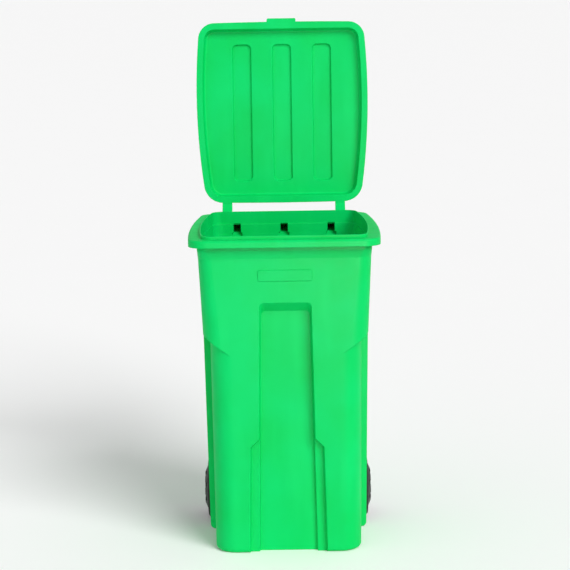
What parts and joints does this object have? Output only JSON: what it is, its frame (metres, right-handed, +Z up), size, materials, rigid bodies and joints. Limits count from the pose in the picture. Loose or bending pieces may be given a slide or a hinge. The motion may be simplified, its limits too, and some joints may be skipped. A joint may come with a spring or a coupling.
{
  "type": "wheelie bin",
  "caption": "Tall tapered plastic wheelie bin on two rear wheels, with a hinged lid standing open, a rim that lifting arms can grip, and a rear grip bar.",
  "frame": {"origin": "on the ground, below the middle of the rim, in the plane of symmetry; the flat base rests there", "axes": "+Z up, -Y towards the front of the bin, +Y towards the hinge and the wheels, X across along the axle"},
  "size_m": [0.5918, 0.792, 1.6331],
  "materials": {
    "green_plastic": "satin moulded polyethylene, vivid green, fine mould texture",
    "green_plastic_lid": "satin moulded polyethylene, vivid green, fine mould texture",
    "green_pin_plastic": "satin moulded polyethylene, vivid green, fine mould texture",
    "black_plastic": "moulded black plastic",
    "black_cap_plastic": "smooth black plastic cap",
    "black_rubber": "solid black rubber tyre",
    "zinc_steel": "zinc-plated steel",
    "spring_steel": "spring steel",
    "nylon": "natural nylon"
  },
  "bodies": {
    "tub": {"body_shell": "green_plastic", "axle": "zinc_steel", "hinge_pin_left": "green_pin_plastic", "hinge_clip_left": "spring_steel", "axle_spacer_left": "nylon", "inner_washer_left": "zinc_steel", "outer_washer_left": "zinc_steel", "push_nut_left": "spring_steel", "hinge_pin_right": "green_pin_plastic", "hinge_clip_right": "spring_steel", "axle_spacer_right": "nylon", "inner_washer_right": "zinc_steel", "outer_washer_right": "zinc_steel", "push_nut_right": "spring_steel"},
    "lid": {"lid_shell": "green_plastic_lid"},
    "wheel_left": {"wheel_disc_left": "black_plastic", "tyre_left": "black_rubber", "wheel_bush_left": "nylon", "hub_cap_left": "black_cap_plastic"},
    "wheel_right": {"wheel_disc_right": "black_plastic", "tyre_right": "black_rubber", "wheel_bush_right": "nylon", "hub_cap_right": "black_cap_plastic"}
  },
  "joints": [
    {"name": "lid_hinge", "type": "hinge", "parent": "tub", "child": "lid", "pos_m": [0, 0.358, 0.97], "axis": [1, 0, 0], "range_deg": [0, 96]},
    {"name": "wheel_left_spin", "type": "hinge", "parent": "tub", "child": "wheel_left", "pos_m": [-0.244, 0.175, 0.1], "axis": [1, 0, 0], "continuous": true},
    {"name": "wheel_right_spin", "type": "hinge", "parent": "tub", "child": "wheel_right", "pos_m": [0.244, 0.175, 0.1], "axis": [1, 0, 0], "continuous": true}
  ]
}
